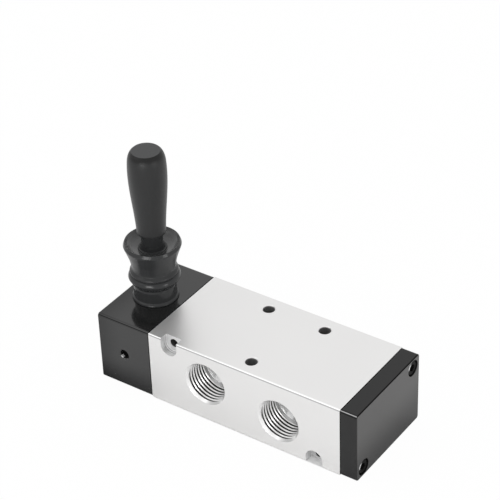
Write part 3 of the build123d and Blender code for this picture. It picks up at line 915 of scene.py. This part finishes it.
# %% [markdown]
# ## Rubber boot
# The boot is one thin moulding: a foot that grips the nut, a shallow fold, a round bead, a waist and
# a flaring cup with a dished top round the rod. Its section is a line of corners, each rounded as a
# mould rounds it, and turned about the lever's axis. Its corners are listed as radius, height over
# the body's top and rounding, in mm, up the outside, over the rim and down the inside.

# %% Section of the boot
boot_section = [
    (8.5, 0.0, 0.0),
    (10.3, 0.0, 0.15),
    (10.5, 0.35, 0.2),
    (10.35, 0.95, 0.2),
    (9.75, 1.5, 0.3),
    (9.7, 2.1, 0.5),
    (9.6, 4.5, 3.0),
    (9.55, 6.6, 0.6),
    (9.35, 7.5, 0.4),
    (9.7, 8.3, 0.6),
    (10.9, 9.4, 0.8),
    (11.7, 11.0, 0.8),
    (11.6, 11.6, 0.6),
    (11.3, 12.4, 0.3),
    (10.9, 12.9, 0.3),
    (10.4, 13.15, 0.1),
    (10.6, 13.5, 0.15),
    (10.95, 13.9, 0.4),
    (10.75, 14.5, 0.5),
    (10.3, 15.0, 0.8),
    (9.75, 15.7, 1.5),
    (10.0, 17.5, 8.0),
    (10.6, 20.6, 20.0),
    (11.4, 23.0, 20.0),
    (12.15, 25.2, 10.0),
    (12.75, 26.8, 1.5),
    (12.95, 27.5, 0.4),
    (12.35, 29.0, 0.2),
    (12.05, 28.9, 0.3),
    (11.3, 27.7, 3.0),
    (9.6, 26.2, 4.0),
    (6.45, 25.4, 0.2),
    (6.4, 26.0, 0.3),
    (5.7, 26.1, 0.3),
    (4.9, 28.2, 0.8),
    (4.8, 33.8, 0.2),
    (4.1, 33.8, 0.0),
    (4.1, 24.0, 0.0),
    (5.8, 24.0, 0.6),
    (8.2, 22.5, 3.0),
    (8.1, 15.0, 1.5),
    (9.6, 13.2, 0.8),
    (10.2, 11.2, 0.8),
    (8.4, 8.6, 0.8),
]
boot_profile = rounded_line(boot_section + boot_section[:1])[:-1]
boot_r, boot_z = boot_profile[:, 0], boot_profile[:, 1]
print("corners of the boot:", len(boot_section), "points of its section:", len(boot_profile))

# %% Rubber boot
DISH_R, DISH_Z = (6.5, 12.1), (25.3, 28.95)
FLARE_R, FLARE_Z = 9.5, (15.4, 26.9)
BOOT_CREASE = 50.0

boot_points = spun(boot_profile)
in_dish = (boot_z > DISH_Z[0]) & (boot_z < DISH_Z[1]) & (boot_r > DISH_R[0]) & (boot_r < DISH_R[1])
on_flare = (boot_z > FLARE_Z[0]) & (boot_z < FLARE_Z[1]) & (boot_r > FLARE_R)
boot_shade = np.zeros(boot_points.shape[:2] + (2,))
boot_shade[in_dish, :, 0] = 1.0
boot_shade[on_flare, :, 1] = 1.0
boot = piece(
    "boot", boot_points, looks["boot_rubber"], None, True, BOOT_CREASE, boot_shade
)
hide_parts("rubber_boot")
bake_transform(boot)

# %% [markdown]
# ## Handle
# The handle swells from its foot to a widest ring near the top, then rounds in to a flat end. Between
# four measured rings the radius is a cubic in the height, which is the one smooth curve that passes
# through them. The shoulder is a quadratic curve, (1 - s)^2 a + 2 s (1 - s) b + s^2 c, that leaves the
# side a in its own direction, towards b, and ends at the rim c of the flat top.

# %% Handle
FOOT_Z, FOOT_R = 33.8, 6.5
RING_Z = np.array([34.3, 47.0, 63.5, 69.8])
RING_R = np.array([6.5, 7.4, 8.6, 8.42])
FLAT_R, EDGE, EDGE_BELOW, FLAT_GAP, FLAT_INNER_R = 6.4, 0.14, 0.12, 0.4, 3.0
BORE_R, BORE_TOP_Z = 4.05, 57.55
FOOT_EDGE, FOOT_GAP = 0.45, 0.6
SHOULDER_REACH = 0.72
SIDE_STEPS, SHOULDER_STEPS = 40, 16
HANDLE_CREASE = 40.0

swell = np.polyfit(RING_Z, RING_R, 3)
side_z = np.linspace(RING_Z[0], RING_Z[3], SIDE_STEPS)
side_line = np.column_stack([np.polyval(swell, side_z), side_z])
shoulder_slope = np.polyval(np.polyder(swell), RING_Z[3])
shoulder_start = side_line[-1]
shoulder_lean = (HANDLE_TOP - RING_Z[3]) * SHOULDER_REACH
shoulder_pull = shoulder_start + np.array([shoulder_slope, 1.0]) * shoulder_lean
shoulder_end = np.array([FLAT_R, HANDLE_TOP - EDGE_BELOW])
s = np.linspace(0, 1, SHOULDER_STEPS)[1:, None]
shoulder = (1 - s) ** 2 * shoulder_start + 2 * s * (1 - s) * shoulder_pull + s ** 2 * shoulder_end
flat_rs = np.array([FLAT_R - EDGE, FLAT_R - FLAT_GAP, FLAT_INNER_R, 0.0])
flat_line = np.column_stack([flat_rs, np.full_like(flat_rs, HANDLE_TOP)])
bore_line = np.array([[0.0, BORE_TOP_Z], [BORE_R, BORE_TOP_Z], [BORE_R, FOOT_Z]])
foot_line = np.array([
    [FOOT_R - FOOT_GAP, FOOT_Z],
    [FOOT_R - FOOT_EDGE, FOOT_Z],
    [FOOT_R - EDGE, FOOT_Z + EDGE],
])
handle_profile = np.vstack([bore_line, foot_line, side_line, shoulder, flat_line])
handle = piece(
    "handle", spun(handle_profile), looks["handle_plastic"], "lever", False,
    HANDLE_CREASE,
)
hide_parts("lever_handle")

# %% [markdown]
# ## Cap and housing screws
# Two socket screws sit in recesses at each end. Each is one grid of rings from the bottom of its
# hexagonal socket to its tip. Three kinds of ring share the grid: a hexagon has radius
# KEY_R / cos(angle from the nearest flat's middle), with KEY_R half its width across flats, a knurled
# ring is a circle with small teeth, and the rest are plain circles. A second array marks the stretch
# of the rim that carries a painted glint.

# %% Rings of a screw
HEAD_R, HEAD_H, SHANK_R = 3.5, 4.0, 2.0
KEY_R, KEY_DEPTH = 1.5, 2.0
KNURL_TEETH, KNURL_DEPTH = 36, 0.16
SCREW_SEGMENTS = KNURL_TEETH * 4
RIM_GLINT_ANGLE, RIM_GLINT_HALF = math.radians(145.0), 0.5
RIM_WIDE, RIM_DEEP = 1.1, 0.6
SCREW_CREASE = 35.0


def screw_rings(angle, length):
    """Radius and depth in mm of each ring, from the middle of the socket's floor to that of the tip."""
    off_flat = (angle + math.pi / 6) % (math.pi / 3) - math.pi / 6
    hexagon = KEY_R / np.cos(off_flat)
    plain = np.ones_like(angle)
    teeth = 1 - KNURL_DEPTH / HEAD_R * (0.5 + 0.5 * np.cos(KNURL_TEETH * angle))
    rings = [
        (0.0 * plain, KEY_DEPTH + 0.35),
        (hexagon * 0.98, KEY_DEPTH),
        (hexagon, KEY_DEPTH - 0.05),
        (hexagon, 0.22),
        (np.maximum(hexagon, KEY_R * 1.08), 0.1),
        (KEY_R * 1.2 * plain, 0.0),
        ((HEAD_R - 1.15) * plain, 0.0),
        ((HEAD_R - 1.0) * plain, 0.0),
        ((HEAD_R - 0.55) * plain, 0.0),
        ((HEAD_R - 0.45) * plain, 0.02),
        ((HEAD_R - 0.2) * teeth, 0.22),
        (HEAD_R * teeth, 0.55),
        (HEAD_R * teeth, HEAD_H - 0.4),
        ((HEAD_R - 0.15) * plain, HEAD_H - 0.1),
        ((HEAD_R - 0.25) * plain, HEAD_H),
        (SHANK_R * plain, HEAD_H),
        (SHANK_R * plain, length - 0.4),
        ((SHANK_R - 0.35) * plain, length),
        (0.0 * plain, length),
    ]
    radius = np.array([r for r, _ in rings])
    depth = np.array([np.full_like(angle, d) for _, d in rings])
    return radius, depth


def screw_points(start, inwards, length):
    """The screw's rings about a line along X from the top of its head, and how much painted glint each
    has.
    """
    angle = np.linspace(0, 2 * math.pi, SCREW_SEGMENTS, endpoint=False)
    radius, depth = screw_rings(angle, length)
    points = np.stack([
        start[0] + inwards * depth * MM,
        start[1] + radius * np.cos(angle) * MM,
        start[2] + radius * np.sin(angle) * MM,
    ], axis=-1)
    # A painted glint on one stretch of the head's rim.
    off_rim_glint = (angle - RIM_GLINT_ANGLE + math.pi) % (2 * math.pi) - math.pi
    on_rim = (radius > HEAD_R - RIM_WIDE) & (radius < HEAD_R) & (depth < RIM_DEEP)
    painted_glint = on_rim * np.exp(-((off_rim_glint / RIM_GLINT_HALF) ** 4))
    return points, np.stack([painted_glint, painted_glint], axis=-1)


print("points round a screw:", SCREW_SEGMENTS)

# %% Socket screws
for node_name, inwards in (("cap_screws", -1), ("housing_screws", 1)):
    low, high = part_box(node_name)
    screw_y = high.y / MM - HEAD_R
    screw_dz = (high.z - low.z) / MM / 2 - HEAD_R
    head_x = high.x if inwards < 0 else low.x
    length = (high.x - low.x) / MM
    for number, sign in enumerate((1, -1), start=1):
        start = (head_x, sign * screw_y * MM, axis_z - inwards * sign * screw_dz * MM)
        points, painted_glint = screw_points(start, inwards, length)
        screw = piece(
            f"{node_name[:-1]}_{number}", points, looks["black_steel"],
            "housing", False, SCREW_CREASE, painted_glint,
        )
        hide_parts(node_name)

# %% [markdown]
# ## Light and floor
# A white room gives every surface about its written colour. Three soft lamps add to it. A large one at
# the front left lifts the left sides. Two low, wide strips, one in front and one at the right, are
# what the rounded rings of the boot mirror as thin bright lines. The floor is pale and matt. Camera
# rays see it plain white, as they see the room, so no lamp has to bleach the background. Only the
# ground right under the valve keeps its own shade.

# %% World
ROOM_LIGHT, ROOM_MIRRORED = 0.98, 0.96
RAYS = ("Is Camera Ray", "Is Glossy Ray", "Is Transmission Ray")
world = bpy.data.worlds.new("studio")
bpy.context.scene.world = world
room = Finish("studio", world)
seen, mirrored, through = (room.node("ShaderNodeLightPath", output=ray) for ray in RAYS)
strength = ROOM_LIGHT + (seen + through) * (1 - ROOM_LIGHT) + mirrored * (ROOM_MIRRORED - ROOM_LIGHT)
glow = room.node("ShaderNodeBackground", {}, {"Color": WHITE, "Strength": strength})
room.node("ShaderNodeOutputWorld", {}, {"Surface": glow})
print("room light", ROOM_LIGHT, "and in mirrors", ROOM_MIRRORED)

# %% Lamps
LAMP_AIM = np.array([0.0, 0.0, 0.03])


def soft_lamp(name, azimuth, elevation, distance, wide, high, watts):
    """A lamp of wide by high metres that looks at the middle of the valve from a distance.

    It stands towards (cos a cos e, sin a cos e, sin e) for an azimuth a, which turns from +X to +Y,
    and an elevation e.
    """
    data = bpy.data.lights.new(name, "AREA")
    data.shape = "RECTANGLE"
    data.size = wide
    data.size_y = high
    data.energy = watts
    lamp = bpy.data.objects.new(name, data)
    bpy.context.scene.collection.objects.link(lamp)
    a, e = math.radians(azimuth), math.radians(elevation)
    towards = np.array([math.cos(a) * math.cos(e), math.sin(a) * math.cos(e), math.sin(e)])
    side = np.array([-math.sin(a), math.cos(a), 0.0])
    matrix = np.eye(4)
    matrix[:3, :3] = np.column_stack([side, np.cross(towards, side), towards])
    matrix[:3, 3] = LAMP_AIM + distance * towards
    lamp.matrix_world = Matrix(matrix.tolist())
    lamp.visible_camera = False
    print(name, "at", matrix[:3, 3].round(3), "watts", watts)


soft_lamp("key", -130.0, 42.0, 1.1, 0.55, 0.55, 0.6)
soft_lamp("front_strip", -78.0, 7.0, 1.0, 0.50, 0.12, 1.9)
soft_lamp("side_strip", -7.0, 7.0, 1.0, 0.28, 0.12, 0.75)

# %% Floor
FLOOR_HALF, FLOOR_DROP = 4.0, 0.0002
FLOOR_GREY = grey(0.91)
SEEN_SHARE, MIRRORED_SHARE = 0.97, 0.05
UNDER_SOFT = 0.5
floor_mesh = bpy.data.meshes.new("floor")
corner_signs = [(-1, -1), (1, -1), (1, 1), (-1, 1)]
floor_corners = [(FLOOR_HALF * i, FLOOR_HALF * j, -FLOOR_DROP) for i, j in corner_signs]
floor_mesh.from_pydata(floor_corners, [], [(0, 1, 2, 3)])
floor = bpy.data.objects.new("floor", floor_mesh)
bpy.context.scene.collection.objects.link(floor)

pale = Finish("pale_floor")
seen, mirrored, through = (pale.node("ShaderNodeLightPath", output=ray) for ray in RAYS)
ground_x, ground_y, _ = pale.axes()
under = ground_x.band(BODY_START, CAP_START, UNDER_SOFT) * ground_y.band(-FRONT, FRONT, UNDER_SOFT)
share = (seen + through) * SEEN_SHARE * (1.0 - under) + mirrored * MIRRORED_SHARE
matt = pale.node("ShaderNodeBsdfDiffuse", {}, {"Color": FLOOR_GREY})
lit = pale.node("ShaderNodeEmission", {}, {"Color": WHITE, "Strength": 1.0})
blended = pale.node("ShaderNodeMixShader", {}, {0: share, 1: matt, 2: lit})
pale.node("ShaderNodeOutputMaterial", {}, {"Surface": blended})
floor_mesh.materials.append(pale.owner)
print("floor metres across:", 2 * FLOOR_HALF)

# %% Settings and sizes
bpy.context.scene.view_settings.view_transform = "Standard"
